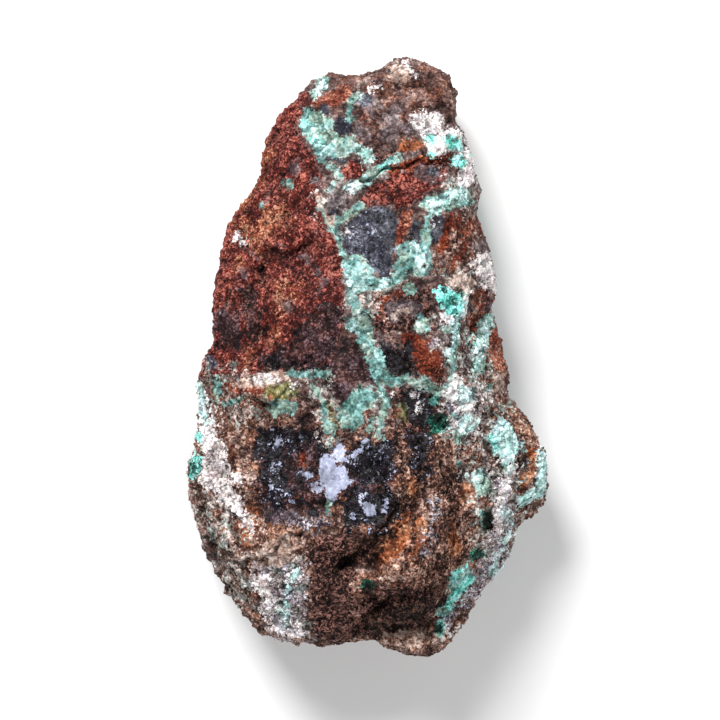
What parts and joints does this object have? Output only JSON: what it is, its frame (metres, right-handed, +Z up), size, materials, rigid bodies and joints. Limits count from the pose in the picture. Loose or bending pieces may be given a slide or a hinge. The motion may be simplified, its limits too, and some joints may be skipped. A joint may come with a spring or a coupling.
{
  "type": "annabergite mineral specimen",
  "caption": "Rough hand-sized lump of rusty limonite rock with pale green annabergite veins and crusts, lying on its flat back.",
  "frame": {"origin": "on the resting surface, under the middle of the stone's bounding box", "axes": "+Z up out of the veined face, +Y along the stone to its narrow tip, +X to the right of the veined face"},
  "size_m": [0.0612, 0.0998, 0.0353],
  "materials": {
    "rock": "rough broken rock"
  },
  "bodies": {
    "root": {"specimen": "rock"}
  },
  "joints": []
}
